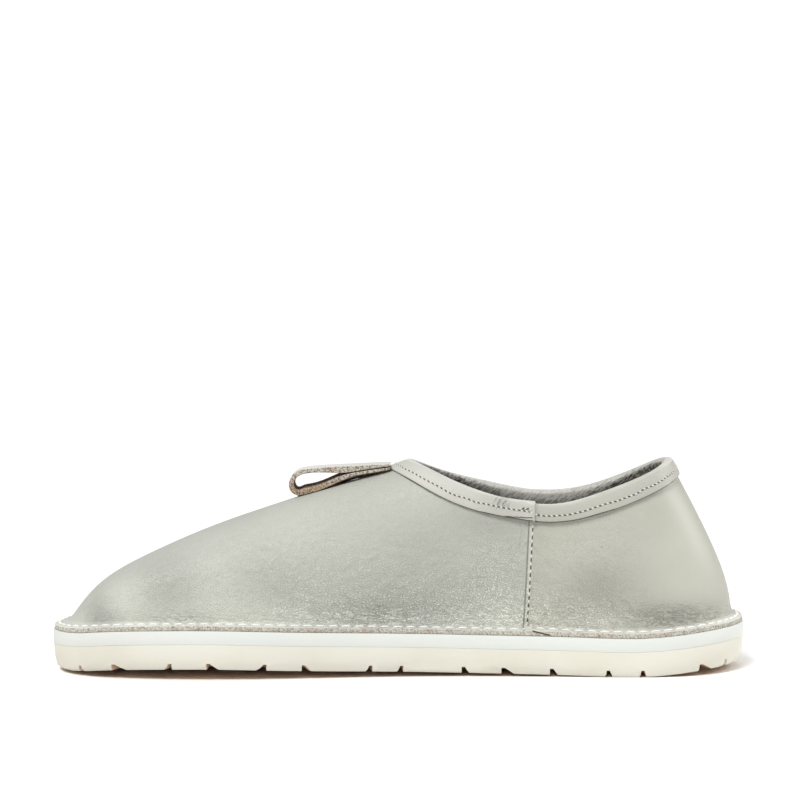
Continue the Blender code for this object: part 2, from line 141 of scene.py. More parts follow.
def new_material(piece, name):
    """Principled material added to a piece; gives its tree and its shader."""
    made = bpy.data.materials.new(name)
    made.use_nodes = True
    piece.data.materials.append(made)
    return made.node_tree, made.node_tree.nodes["Principled BSDF"]


def bumped(tree, shader, height, distance, strength=1.0):
    """Bump from a height socket, in metres, onto a shader."""
    bump = add(tree, "ShaderNodeBump", Height=height, Distance=distance, Strength=strength)
    tree.links.new(bump.outputs[0], shader.inputs["Normal"])


# Soft patches of a second tone, and fine pores, as moulded foam and rubber have. Towards the toe end the
# colour is darker as painted shade, from fully to not at all between these places along the shoe
TOE_SHADE_X = (-125.0, -70.0)
tree, given, result = node_group(
    "Moulded Mottle",
    {"Base": (0.8, 0.8, 0.8, 1.0), "Tone": (0.7, 0.7, 0.7, 1.0), "Patch Scale": 40.0, "Pore Scale": 1500.0},
    {"Color": "NodeSocketColor", "Height": "NodeSocketFloat"},
)
place = place_of(tree)
patches = add(tree, "ShaderNodeTexNoise", Vector=place, Scale=given.outputs["Patch Scale"], Detail=4.0)
pores = add(tree, "ShaderNodeTexNoise", Vector=place, Scale=given.outputs["Pore Scale"], Detail=2.0)
patchy = ranged(tree, patches.outputs[0], 0.35, 0.7)
mottled = mixed(tree, patchy, given.outputs["Base"], given.outputs["Tone"])
along = add(tree, "ShaderNodeSeparateXYZ", Vector=place).outputs["X"]
toe_shade = ranged(tree, along, TOE_SHADE_X[0] * MM, TOE_SHADE_X[1] * MM, 0.16, 0.0)
tree.links.new(mixed(tree, toe_shade, mottled, (0.25, 0.22, 0.17, 1.0)), result.inputs["Color"])
tree.links.new(pores.outputs[0], result.inputs["Height"])
moulded_mottle = tree


def moulded(piece, name, base, tone, patch_scale, pore_scale, roughness, pore_depth, strength):
    """Matt moulded material of two tones with fine pores, added to a piece; gives its shader."""
    tree, shader = new_material(piece, name)
    mottle = add(tree, "ShaderNodeGroup", {"node_tree": moulded_mottle}, Base=base, Tone=tone,
                 Patch_Scale=patch_scale, Pore_Scale=pore_scale)
    tree.links.new(mottle.outputs["Color"], shader.inputs["Base Color"])
    shader.inputs["Roughness"].default_value = roughness
    bumped(tree, shader, mottle.outputs["Height"], pore_depth * MM, strength)
    return shader


def rounded(piece, width):
    """Edges of the active slab slightly rounded, and its faces smooth between them."""
    modified(piece, "BEVEL", width=width * MM, segments=2, limit_method="ANGLE", angle_limit=math.radians(40))
    bpy.ops.object.shade_smooth_by_angle(angle=math.radians(38))


LENGTH_TO_WIDTH = 2.9


def top_rim(piece):
    """Points around the upper edge of a slab, in order, the first one repeated at the end."""
    mesh = piece.data
    level = {key for face in mesh.polygons if face.normal.z > 0.7 for key in face.edge_keys}
    upright = {key for face in mesh.polygons if abs(face.normal.z) < 0.4 for key in face.edge_keys}
    ends = {index for key in level & upright for index in key}
    points = [mesh.vertices[index].co.copy() for index in ends]
    points.sort(key=lambda point: math.atan2(point.y * LENGTH_TO_WIDTH, point.x))
    return points + points[:1]


def from_rim(rim, point):
    """Distance in plan of a point from a rim."""
    plan = np.array([spot[:2] for spot in rim])
    start, end = plan[:-1], plan[1:]
    along = end - start
    length = np.maximum((along ** 2).sum(1), 1e-12)
    share = np.clip(((np.array(point[:2]) - start) * along).sum(1) / length, 0.0, 1.0)
    return np.linalg.norm(start + along * share[:, None] - np.array(point[:2]), axis=1).min()


# Faces lower than the tread's top and further in than the outer wall are tread, or walls of its notches;
# the tread is painted dark brown as painted shade, the notch walls a warm tone as painted bounce light
TREAD_TOP, EDGE_WALL = 8.0, 2.2
SHADED_TREAD, BOUNCE_LIT_NOTCH = 1, 2
outsole = taken_from("outsole", "rubber_outsole")
outsole_rim = top_rim(outsole)
for face in outsole.data.polygons:
    if face.center.z < TREAD_TOP * MM and from_rim(outsole_rim, face.center) > EDGE_WALL * MM:
        face.material_index = BOUNCE_LIT_NOTCH if abs(face.normal.z) < 0.7 else SHADED_TREAD
rounded(outsole, 0.2)
shader = moulded(outsole, "cream_rubber_looks", base=(0.68, 0.667, 0.59, 1.0), tone=(0.65, 0.63, 0.545, 1.0),
                 patch_scale=35.0, pore_scale=1200.0, roughness=0.55, pore_depth=0.05, strength=0.5)
shader.inputs["Specular IOR Level"].default_value = 0.3
moulded(outsole, "rubber_tread_painted_shade", base=(0.5, 0.31, 0.15, 1.0), tone=(0.36, 0.2, 0.08, 1.0),
        patch_scale=120.0, pore_scale=900.0, roughness=0.7, pore_depth=0.08, strength=0.6)
moulded(outsole, "rubber_notch_walls_painted_bounce", base=(0.78, 0.6, 0.46, 1.0), tone=(0.6, 0.4, 0.26, 1.0),
        patch_scale=160.0, pore_scale=1200.0, roughness=0.7, pore_depth=0.05, strength=0.5)
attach(outsole, "root")
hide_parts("outsole")

# Midsole: a sheet of white foam cut to the sole's outline and cemented between the outsole and the leather.
# Its cut edge is crisp and matt, and its faces are pressed a little into both neighbours.
PRESSED = 0.26
midsole = taken_from("midsole", "foam_midsole")
midsole_rim = top_rim(midsole)
rise = {}
for face in midsole.data.polygons:
    if abs(face.normal.z) > 0.7:
        rise.update((index, math.copysign(PRESSED * MM, face.normal.z)) for index in face.vertices)
for index, step in rise.items():
    midsole.data.vertices[index].co.z += step
rounded(midsole, 0.12)
shader = moulded(midsole, "white_foam_looks", base=(0.67, 0.69, 0.655, 1.0), tone=(0.65, 0.677, 0.645, 1.0),
                 patch_scale=30.0, pore_scale=1800.0, roughness=0.65, pore_depth=0.04, strength=0.4)
shader.inputs["Specular IOR Level"].default_value = 0.25
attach(midsole, "root")
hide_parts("midsole")
sole_tree = BVHTree.FromObject(midsole, bpy.context.evaluated_depsgraph_get())


# Upper: soft light grey leather of about 2 mm with a fine pebbled grain, drawn over a last, with soft dents.
# The quarter laps over the vamp at the side seams. The lower edge is turned out over the midsole and shows
# its raw brown fibres; the flesh side is left bare inside.
def soften(piece, levels):
    """Smooth surface through the active piece's faces that keeps its cut edges crisp."""
    bpy.ops.object.mode_set(mode="EDIT")
    bpy.ops.mesh.select_all(action="DESELECT")
    bpy.ops.mesh.edges_select_sharp(sharpness=math.radians(38))
    bpy.ops.transform.edge_crease(value=0.9)
    bpy.ops.object.mode_set(mode="OBJECT")
    modified(piece, "SUBSURF", levels=levels)
    bpy.ops.object.shade_smooth()


def spread(distance, reach):
    """Soft falloff from 1 at no distance to near 0 at twice the reach."""
    return np.exp(-(distance / reach) ** 2)


def set_values(piece, name, values):
    """Named value per vertex for the materials to read."""
    piece.data.attributes.new(name, "FLOAT", "POINT").data.foreach_set("value", values.astype(np.float32))


def read_value(tree, name):
    """Socket of a named value per vertex."""
    return add(tree, "ShaderNodeAttribute", {"attribute_name": name}).outputs["Fac"]


def points_of(piece):
    """Places and normals of a piece's vertices, as arrays with a row for each."""
    rows = len(piece.data.vertices)
    places, normals = np.empty(rows * 3), np.empty(rows * 3, np.float32)
    piece.data.vertices.foreach_get("co", places)
    piece.data.vertices.foreach_get("normal", normals)
    return places.reshape(-1, 3), normals.reshape(-1, 3)


# Middle line of the shoe that the wall stands round, and heights above the sole that part the turned-out edge
# from the wall
AXIS_REACH, AXIS_Z = 95.0, 30.0
FLANGE_TOP, WALL_FOOT = 1.9, 3.5
RAW_EDGE, LINING = 1, 2
upper = taken_from("upper", "leather_upper")
for face in upper.data.polygons:
    above = (face.center - sole_tree.find_nearest(face.center)[0]).length
    axis = Vector((min(max(face.center.x, -AXIS_REACH * MM), AXIS_REACH * MM), 0.0, AXIS_Z * MM))
    out = face.center - axis
    level_out = Vector((out.x, out.y, 0.0)).normalized()
    if face.normal.dot(level_out) < -0.3 or (above > WALL_FOOT * MM and face.normal.dot(out) < 0.0):
        face.material_index = LINING
    elif above < FLANGE_TOP * MM and abs(face.normal.z) < 0.5:
        face.material_index = RAW_EDGE
soften(upper, 2)

# Soft dents and swells of the inner side, in millimetres from the shoe's middle and above the floor: middle,
# half sizes, slant, and how far the leather is pushed in
Dent = namedtuple("Dent", "x z half_length half_height slant depth")
DENTS = (
    Dent(-117.0, 24.0, 5.0, 8.0, 0.4, 0.9),
    Dent(-102.0, 30.0, 7.0, 10.0, 0.3, -0.5),
    Dent(-86.0, 32.0, 9.0, 12.0, 0.2, 0.5),
    Dent(-68.0, 34.0, 11.0, 14.0, 0.2, -0.5),
    Dent(-40.0, 32.0, 14.0, 10.0, 0.1, 0.8),
    Dent(0.0, 25.0, 32.0, 7.0, 0.0, 1.3),
    Dent(-5.0, 46.0, 30.0, 9.0, 0.0, -0.8),
    Dent(37.0, 32.0, 8.0, 14.0, 0.0, -0.5),
    Dent(78.0, 30.0, 14.0, 9.0, -0.1, 1.2),
    Dent(80.0, 47.0, 18.0, 8.0, 0.0, -0.6),
    Dent(104.0, 22.0, 15.0, 5.0, 0.0, 0.9),
)
# The wall is held at its foot and free to give from this much higher up
FREED_WITHIN = 5.0
spots, facing = points_of(upper)
above_sole = np.array([(Vector(p) - sole_tree.find_nearest(Vector(p))[0]).length for p in spots]) / MM
near_side = np.clip(-facing[:, 1] * 2.0, 0.0, 1.0)
free = np.clip((above_sole - WALL_FOOT) / FREED_WITHIN, 0.0, 1.0) * near_side
push = np.zeros(len(spots))
for dent in DENTS:
    along = spots[:, 0] / MM - dent.x
    up = spots[:, 2] / MM - dent.z - dent.slant * along
    push += dent.depth * spread(along, dent.half_length) * spread(up, dent.half_height)
moved = spots - facing * (push * free * MM)[:, None]
upper.data.vertices.foreach_set("co", moved.ravel())
upper.data.update()
set_values(upper, "above_sole", above_sole)

# Soft patches of the wall, in the same sizes as the dents, each with its amount
Patch = namedtuple("Patch", "x z half_length half_height amount")


def patched(patches):
    """Sum of some patches at each of the upper's points."""
    total = np.zeros(len(spots))
    for patch in patches:
        along = spots[:, 0] / MM - patch.x
        up = spots[:, 2] / MM - patch.z
        total += patch.amount * spread(along, patch.half_length) * spread(up, patch.half_height)
    return total


# Where the leather is creased fine, low down on the vamp and the quarter
CREASED = (
    Patch(-4.0, 26.0, 50.0, 12.0, 0.95),
    Patch(37.0, 38.0, 12.0, 18.0, 0.5),
    Patch(-15.0, 44.0, 45.0, 10.0, 0.22),
    Patch(70.0, 23.0, 26.0, 9.0, 0.66),
    Patch(-85.0, 31.0, 26.0, 14.0, 0.15),
    Patch(76.0, 50.0, 28.0, 14.0, 0.17),
    Patch(-114.0, 22.0, 9.0, 8.0, 0.25),
    Patch(108.0, 48.0, 20.0, 26.0, -0.2),
)
set_values(upper, "creased", np.clip(patched(CREASED), -0.12, 1.0))

# Where the leather is gathered into long wrinkles above the flange
WRINKLED = (
    Patch(-10.0, 22.5, 28.0, 4.5, 1.0),
    Patch(36.0, 22.5, 18.0, 5.5, 0.5),
    Patch(60.0, 23.0, 13.0, 7.0, 0.5),
    Patch(104.0, 22.0, 20.0, 4.5, 0.6),
    Patch(-78.0, 22.0, 20.0, 4.0, 0.4),
)
set_values(upper, "wrinkled", np.clip(patched(WRINKLED), 0.0, 1.0))

# Painted shade (above nought) and painted sheen and floor bounce (below nought) on the inner side, standing
# in for the light on its soft dents and bulges
PAINTED_SHADE_AND_SHEEN = (
    Patch(0.0, 20.0, 150.0, 5.0, -0.3),
    Patch(-112.0, 21.0, 9.0, 5.0, 0.22),
    Patch(-22.0, 21.0, 22.0, 4.0, -0.14),
    Patch(57.0, 21.0, 6.0, 4.0, -0.14),
    Patch(36.0, 40.0, 10.0, 16.0, -0.18),
    Patch(43.0, 23.0, 19.0, 9.0, -0.57),
    Patch(74.0, 23.0, 16.0, 9.0, -0.3),
    Patch(18.0, 27.0, 14.0, 9.0, -0.08),
    Patch(8.0, 50.0, 14.0, 9.0, 0.08),
    Patch(-10.0, 27.0, 26.0, 9.0, -0.24),
    Patch(-25.0, 38.0, 45.0, 18.0, -0.06),
    Patch(-20.0, 43.0, 16.0, 14.0, -0.09),
    Patch(-60.0, 24.0, 28.0, 9.0, -0.36),
    Patch(-50.0, 50.0, 22.0, 9.0, -0.06),
    Patch(-103.0, 28.0, 9.0, 9.0, -0.26),
    Patch(-68.0, 37.0, 11.0, 10.0, -0.14),
    Patch(-46.0, 35.0, 9.0, 8.0, 0.08),
    Patch(-90.0, 38.0, 25.0, 16.0, 0.08),
    Patch(-116.0, 26.0, 4.0, 8.0, 0.12),
    Patch(32.0, 58.0, 16.0, 8.0, 0.14),
    Patch(62.0, 50.0, 17.0, 14.0, -0.07),
    Patch(112.0, 45.0, 14.0, 22.0, -0.06),
    Patch(77.0, 33.0, 15.0, 11.0, 0.24),
    Patch(106.0, 21.0, 21.0, 6.0, 0.38),
)
set_values(upper, "painted_shade_and_sheen", patched(PAINTED_SHADE_AND_SHEEN) * near_side)

# Grained leather: fine pebbles drawn out along a slope, deeper where creased, with painted shade in their
# valleys that is darker where creased, and uneven dye.
# The slope turns over at the side seam, where the two panels were pulled down
PULLED_X, PULLED_SLOPE = 50.0, math.radians(30)
tree, given, result = node_group(
    "Leather Grain",
    {"Base": (0.5, 0.5, 0.5, 1.0), "Pale": (0.6, 0.6, 0.6, 1.0), "Deep": (0.4, 0.4, 0.4, 1.0),
     "Grain Scale": 1200.0, "Creased": 0.0},
    {"Color": "NodeSocketColor", "Roughness": "NodeSocketFloat", "Height": "NodeSocketFloat"},
)
place = place_of(tree)
warp = add(tree, "ShaderNodeTexNoise", Vector=place, Scale=300.0, Detail=2.0)
warped = add(tree, "ShaderNodeMix", {"data_type": "VECTOR"}, Factor=0.002)
tree.links.new(place, warped.inputs[4])
tree.links.new(warp.outputs["Color"], warped.inputs[5])
axes = add(tree, "ShaderNodeSeparateXYZ", Vector=warped.outputs[1])
from_seam = math_node(tree, "ABSOLUTE", math_node(tree, "SUBTRACT", axes.outputs["X"], PULLED_X * MM))
folded = add(tree, "ShaderNodeCombineXYZ", X=from_seam, Y=axes.outputs["Y"], Z=axes.outputs["Z"])
drawn = add(tree, "ShaderNodeMapping", {"vector_type": "TEXTURE"}, Vector=folded.outputs[0],
            Rotation=(0.0, PULLED_SLOPE, 0.0), Scale=(1.8, 1.0, 0.83))
pebbles = add(tree, "ShaderNodeTexVoronoi", {"feature": "DISTANCE_TO_EDGE"},
              Vector=drawn.outputs[0], Scale=given.outputs["Grain Scale"])
pores = add(tree, "ShaderNodeTexNoise", Vector=place, Scale=2600.0, Detail=3.0)
swells = add(tree, "ShaderNodeTexNoise", Vector=drawn.outputs[0], Scale=1000.0, Detail=2.0)
valley = ranged(tree, pebbles.outputs["Distance"], 0.0, 0.2, 1.0, 0.0)
deep = math_node(tree, "MULTIPLY_ADD", given.outputs["Creased"], 0.85, 0.13)
fine = math_node(tree, "MULTIPLY_ADD", valley, -0.5, math_node(tree, "MULTIPLY", pores.outputs[0], 0.25))
height = math_node(tree, "MULTIPLY_ADD", swells.outputs[0], 0.25, fine)
tree.links.new(math_node(tree, "MULTIPLY", height, deep), result.inputs["Height"])
dye = add(tree, "ShaderNodeTexNoise", Vector=place, Scale=22.0, Detail=5.0)
dyed = mixed(tree, ranged(tree, dye.outputs[0], 0.35, 0.68), given.outputs["Base"], given.outputs["Pale"])
# Painted shade in the grain's valleys, stronger where creased
shade_in_folds = math_node(tree, "MULTIPLY", math_node(tree, "MULTIPLY", valley, deep), 0.35)
tree.links.new(mixed(tree, shade_in_folds, dyed, given.outputs["Deep"]), result.inputs["Color"])
tree.links.new(ranged(tree, dye.outputs[0], 0.3, 0.7, 0.38, 0.48), result.inputs["Roughness"])
leather_grain = tree


def grained(piece, name, base, pale, deep, grain_scale, creased=0.0):
    """Grained leather material added to a piece; gives its tree, its shader and its grain."""
    tree, shader = new_material(piece, name)
    grain = add(tree, "ShaderNodeGroup", {"node_tree": leather_grain}, Base=base, Pale=pale, Deep=deep,
                Grain_Scale=grain_scale, Creased=creased)
    tree.links.new(grain.outputs["Color"], shader.inputs["Base Color"])
    tree.links.new(grain.outputs["Roughness"], shader.inputs["Roughness"])
    return tree, shader, grain


# Raw leather, at a cut edge or on the flesh side: matted fibres with dark pits and a few rusty ones
tree, given, result = node_group(
    "Raw Edge",
    {"Base": (0.5, 0.5, 0.5, 1.0), "Dark": (0.2, 0.15, 0.1, 1.0), "Rust": (0.6, 0.4, 0.3, 1.0),
     "Fibre Scale": 900.0, "Pits": 0.5},
    {"Color": "NodeSocketColor", "Height": "NodeSocketFloat"},
)
place = place_of(tree)
fibres = add(tree, "ShaderNodeTexNoise", Vector=place, Scale=given.outputs["Fibre Scale"], Detail=5.0,
             Roughness=0.7)
specks = add(tree, "ShaderNodeTexVoronoi", Vector=place, Scale=given.outputs["Fibre Scale"])
rusty = add(tree, "ShaderNodeTexNoise", Vector=place, Scale=240.0, Detail=3.0)
pit = math_node(tree, "MULTIPLY", ranged(tree, fibres.outputs[0], 0.4, 0.56, 1.0, 0.0), given.outputs["Pits"])
rusted = ranged(tree, rusty.outputs[0], 0.55, 0.7, 0.0, 0.7)
warm = mixed(tree, rusted, given.outputs["Base"], given.outputs["Rust"])
tree.links.new(mixed(tree, pit, warm, given.outputs["Dark"]), result.inputs["Color"])
matted = math_node(tree, "MULTIPLY_ADD", specks.outputs[0], 0.4, fibres.outputs[0])
tree.links.new(matted, result.inputs["Height"])
raw_edge = tree


def fibrous(piece, name, base, dark, rust, fibre_scale, pits, roughness):
    """Material of raw leather fibres added to a piece; gives its tree, its shader and its fibres."""
    tree, shader = new_material(piece, name)
    fibres = add(tree, "ShaderNodeGroup", {"node_tree": raw_edge}, Base=base, Dark=dark, Rust=rust,
                 Fibre_Scale=fibre_scale, Pits=pits)
    tree.links.new(fibres.outputs["Color"], shader.inputs["Base Color"])
    shader.inputs["Roughness"].default_value = roughness
    return tree, shader, fibres


# The lapped edge of the quarter leans forward from this place under the binding. A dark line just in front of
# its cut is painted shadow, and the strip up to its stitches is paler; wrinkles lie nearly level above the
# flange, with painted shade in them, and the leather just above the flange is paler as a painted highlight
SEAM_X, SEAM_Z, SEAM_LEAN = 49.5, 58.0, 0.056
WRINKLE_SLANT, WRINKLE_STRETCH = math.radians(7), 3.2
tree, shader, grain = grained(upper, "grey_leather_looks", base=(0.414, 0.42, 0.373, 1.0),
                              pale=(0.445, 0.454, 0.408, 1.0), deep=(0.2, 0.2, 0.17, 1.0), grain_scale=1400.0)
tree.links.new(read_value(tree, "creased"), grain.inputs["Creased"])
spot = add(tree, "ShaderNodeSeparateXYZ", Vector=place_of(tree))
lean = math_node(tree, "MULTIPLY_ADD", spot.outputs["Z"], -SEAM_LEAN, (SEAM_LEAN * SEAM_Z - SEAM_X) * MM)
behind = math_node(tree, "ADD", spot.outputs["X"], lean)
strip = math_node(tree, "MULTIPLY", ranged(tree, behind, 0.0, 0.2 * MM),
                  ranged(tree, behind, 0.8 * MM, 1.2 * MM, 1.0, 0.0))
# Painted shadow of the lapped edge on the vamp, just in front of its cut
lap_shadow = math_node(tree, "MULTIPLY", ranged(tree, behind, -0.6 * MM, -0.4 * MM),
                ranged(tree, behind, 0.0, 0.15 * MM, 1.0, 0.0))
drawn = add(tree, "ShaderNodeMapping", {"vector_type": "TEXTURE"}, Vector=place_of(tree),
            Rotation=(0.0, WRINKLE_SLANT, 0.0), Scale=(WRINKLE_STRETCH, WRINKLE_STRETCH, 1.0))
folds = add(tree, "ShaderNodeTexNoise", Vector=drawn.outputs[0], Scale=780.0, Detail=2.5, Distortion=0.9)
from_fold = math_node(tree, "ABSOLUTE", math_node(tree, "SUBTRACT", folds.outputs[0], 0.5))
line = ranged(tree, from_fold, 0.0, 0.08, 1.0, 0.0)
wrinkle = math_node(tree, "MULTIPLY", line, read_value(tree, "wrinkled"))
# Painted shade in the wrinkles
wrinkle_shade = math_node(tree, "MULTIPLY", wrinkle, 0.16)
shade_in_folds = mixed(tree, wrinkle_shade, grain.outputs["Color"], (0.16, 0.155, 0.125, 1.0))
# Painted shade and sheen of the inner side; an amount below nought lightens
shaded = mixed(tree, read_value(tree, "painted_shade_and_sheen"), shade_in_folds, (0.0, 0.0, 0.0, 1.0))
shaded.node.clamp_factor = False
warm_quarter = ranged(tree, behind, 0.0, 0.1 * MM)
shaded = mixed(tree, warm_quarter, shaded, (1.0, 0.985, 0.955, 1.0), "MULTIPLY")
# Painted highlight on the leather just above the flange
flange_highlight = ranged(tree, read_value(tree, "above_sole"), FLANGE_TOP, 4.2, 0.55, 0.0)
pale = math_node(tree, "MAXIMUM", math_node(tree, "MULTIPLY", strip, 0.3), flange_highlight)
lightened = mixed(tree, pale, shaded, (0.72, 0.715, 0.66, 1.0))
tree.links.new(mixed(tree, math_node(tree, "MULTIPLY", lap_shadow, 0.65), lightened, (0.14, 0.135, 0.11, 1.0)),
               shader.inputs["Base Color"])
shader.inputs["Specular IOR Level"].default_value = 0.3
sunk = math_node(tree, "SUBTRACT", grain.outputs["Height"], math_node(tree, "MULTIPLY", wrinkle, 0.8))
bumped(tree, shader, sunk, 0.8 * MM, 1.0)

# Where the quarter lies on the vamp in the turned-out edge, their lap opens as a dark line. It runs down from
# the top layer between these places along the shoe, in millimetres above the sole
OPEN_LAP_X = (50.0, 57.5)
OPEN_LAP_ABOVE = (2.1, 0.4)
tree, shader, fibres = fibrous(upper, "leather_raw_edge", base=(0.56, 0.54, 0.475, 1.0),
                               dark=(0.13, 0.1, 0.07, 1.0), rust=(0.5, 0.41, 0.33, 1.0),
                               fibre_scale=1700.0, pits=0.75, roughness=0.85)
above = read_value(tree, "above_sole")
# The top of the cut edge is lighter: its grain layer, with a painted highlight
grain_layer_highlight = ranged(tree, above, 1.75, 2.0)
spot = add(tree, "ShaderNodeSeparateXYZ", Vector=place_of(tree))
lap_line = add(tree, "ShaderNodeMapRange", Value=spot.outputs["X"],
               From_Min=OPEN_LAP_X[0] * MM, From_Max=OPEN_LAP_X[1] * MM,
               To_Min=OPEN_LAP_ABOVE[0], To_Max=OPEN_LAP_ABOVE[1]).outputs[0]
off = math_node(tree, "ABSOLUTE", math_node(tree, "SUBTRACT", above, lap_line))
ends = math_node(tree, "MULTIPLY", ranged(tree, lap_line, 0.42, 0.6),
                 ranged(tree, lap_line, 2.0, 2.09, 1.0, 0.0))
open_lap = math_node(tree, "MULTIPLY", ranged(tree, off, 0.2, 0.38, 1.0, 0.0), ends)
edge_color = mixed(tree, grain_layer_highlight, fibres.outputs["Color"], (0.62, 0.61, 0.54, 1.0))
tree.links.new(mixed(tree, open_lap, edge_color, (0.05, 0.04, 0.03, 1.0)), shader.inputs["Base Color"])
bumped(tree, shader, fibres.outputs["Height"], 0.3 * MM, 0.8)

tree, shader, nap = fibrous(upper, "leather_lining", base=(0.42, 0.41, 0.375, 1.0),
                            dark=(0.27, 0.26, 0.23, 1.0), rust=(0.4, 0.38, 0.34, 1.0),
                            fibre_scale=1600.0, pits=0.5, roughness=0.85)
bumped(tree, shader, nap.outputs["Height"], 0.25 * MM, 0.7)
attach(upper, "root")
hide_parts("upper")
upper_tree = BVHTree.FromObject(upper, bpy.context.evaluated_depsgraph_get())

# Insole: a sheet of matt grey-brown leather lying inside on the midsole, cemented along its edge.
# It is hidden in the photo, so its colour and grain are a guess.
insole = taken_from("insole", "leather_insole")
rounded(insole, 0.4)
tree, shader, grain = grained(insole, "insole_leather_looks", base=(0.36, 0.33, 0.28, 1.0),
                              pale=(0.42, 0.39, 0.33, 1.0), deep=(0.27, 0.24, 0.2, 1.0), grain_scale=900.0)
bumped(tree, shader, grain.outputs["Height"], 0.12 * MM, 0.6)
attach(insole, "root")
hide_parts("insole")

# Collar binding: a strip of thinner grey leather folded over the collar edge and sewn through with one row.
# Its front end laps over its rear end at the near seam, where it is puckered by the overlap. The part that is
# turned in is napped, and lies in shade towards the lowest place of the collar.
binding = taken_from("collar_binding", "leather_binding")
low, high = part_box("collar_binding")
collar_middle = (low + high) / 2
soften(binding, 2)

# How far the strip is turned in, and how deep below its fold it lies, for each of its points
ROUND_END = 28 * MM
FOLD_STEPS = 120
spots, facing = points_of(binding)
inner_x = np.clip(spots[:, 0], low.x + ROUND_END, high.x - ROUND_END)
out = spots[:, :2] - np.stack([inner_x, np.full(len(spots), collar_middle.y)], axis=1)
out /= np.linalg.norm(out, axis=1)[:, None]
inward = -(facing[:, :2] * out).sum(1)
set_values(binding, "turned_in", np.clip((inward - 0.25) / 0.45, 0.0, 1.0))
turns = np.arctan2(spots[:, 1] - collar_middle.y, spots[:, 0] - collar_middle.x)
step_of = ((turns / (2 * math.pi) + 0.5) * FOLD_STEPS).astype(int) % FOLD_STEPS
fold_tops = np.array([spots[step_of == step, 2].max() for step in range(FOLD_STEPS)])
fold_turns = ((np.arange(FOLD_STEPS) + 0.5) / FOLD_STEPS - 0.5) * 2 * math.pi
set_values(binding, "depth", (np.interp(turns, fold_turns, fold_tops, period=2 * math.pi) - spots[:, 2]) / MM)

# Puckers of the lap: their place, pitch, slant and stray, and the heights between which they set in
PUCKER_X, PUCKER_PITCH, PUCKER_SLANT, PUCKER_STRAY = 39.0, 2.1, 0.45, 2.6
PUCKER_Z = (62.4, 65.0)
LAPPED_X = 51.3
# The nap is darker in front as painted shade, from fully to not at all between these places along the shoe
FRONT_SHADE_X = (18.0, 46.0)
HAIR_SLANT, HAIR_STRETCH = math.radians(50), 4.5
# The shade is darkest this deep at the collar's lowest place, and less deep by the rise at each reach from it
LOWEST_X, DARKEST_DEPTH, LEAST_DEPTH = 57.0, 8.0, 2.5
RISE_REACH, RISE = 30.0, 2.5
tree, shader, grain = grained(binding, "binding_leather_looks", base=(0.48, 0.475, 0.43, 1.0),
                              pale=(0.515, 0.51, 0.465, 1.0), deep=(0.33, 0.325, 0.28, 1.0),
                              grain_scale=1500.0, creased=0.15)
spot = add(tree, "ShaderNodeSeparateXYZ", Vector=place_of(tree))
leaned = math_node(tree, "MULTIPLY_ADD", spot.outputs["Z"], -PUCKER_SLANT, spot.outputs["X"])
stray = add(tree, "ShaderNodeTexNoise", Vector=place_of(tree), Scale=330.0)
across = math_node(tree, "ADD", leaned, math_node(tree, "MULTIPLY", stray.outputs[0], PUCKER_STRAY * MM))
wave = math_node(tree, "SINE", math_node(tree, "MULTIPLY", across, 2 * math.pi / (PUCKER_PITCH * MM)))
away = math_node(tree, "ABSOLUTE", math_node(tree, "SUBTRACT", spot.outputs["X"], PUCKER_X * MM))
near = math_node(tree, "MULTIPLY", ranged(tree, away, 1.0 * MM, 4.2 * MM, 1.0, 0.0),
                 ranged(tree, spot.outputs["Y"], -20.0 * MM, -10.0 * MM, 1.0, 0.0))
near = math_node(tree, "MULTIPLY", near, ranged(tree, spot.outputs["Z"], PUCKER_Z[0] * MM, PUCKER_Z[1] * MM))
pucker = math_node(tree, "MULTIPLY", wave, near)
# Painted shade in the troughs of the puckers
pucker_trough_shade = math_node(tree, "MULTIPLY", pucker, -0.36, clamp=True)
puckered = mixed(tree, pucker_trough_shade, grain.outputs["Color"], (0.2, 0.17, 0.13, 1.0))
rear_strip = ranged(tree, spot.outputs["X"], LAPPED_X * MM, (LAPPED_X + 0.2) * MM)
outside = mixed(tree, rear_strip, puckered, (0.855, 0.855, 0.835, 1.0), "MULTIPLY")
# Painted shade round the puckers
shade_near_puckers = ranged(tree, away, 2.0 * MM, 13.0 * MM, 0.16, 0.0)
outside = mixed(tree, shade_near_puckers, outside, (0.15, 0.14, 0.11, 1.0))
depth = read_value(tree, "depth")
# Painted highlight along the crest of the fold
crest_highlight = ranged(tree, depth, 0.15, 0.75, 0.4, 0.0)
outside = mixed(tree, crest_highlight, outside, (0.76, 0.75, 0.7, 1.0))
nap = add(tree, "ShaderNodeGroup", {"node_tree": raw_edge}, Base=(0.56, 0.55, 0.505, 1.0),
          Dark=(0.38, 0.37, 0.335, 1.0), Rust=(0.52, 0.5, 0.45, 1.0), Fibre_Scale=1600.0, Pits=0.5)
front_shade = math_node(tree, "MULTIPLY", ranged(tree, spot.outputs["X"], FRONT_SHADE_X[0] * MM, FRONT_SHADE_X[1] * MM, 1.0, 0.0),
                 ranged(tree, depth, 0.3, 2.6))
from_lowest = math_node(tree, "SUBTRACT", spot.outputs["X"], LOWEST_X * MM)
along = math_node(tree, "DIVIDE", from_lowest, RISE_REACH * MM)
rising = math_node(tree, "MULTIPLY", math_node(tree, "MULTIPLY", along, along), RISE)
darkest = math_node(tree, "MAXIMUM", math_node(tree, "SUBTRACT", DARKEST_DEPTH, rising), LEAST_DEPTH)
shaded = ranged(tree, depth, 1.2, darkest, 0.0, 0.95)
combed = add(tree, "ShaderNodeMapping", {"vector_type": "TEXTURE"}, Vector=place_of(tree),
             Rotation=(0.0, HAIR_SLANT, 0.0), Scale=(1.0, 2.5, HAIR_STRETCH))
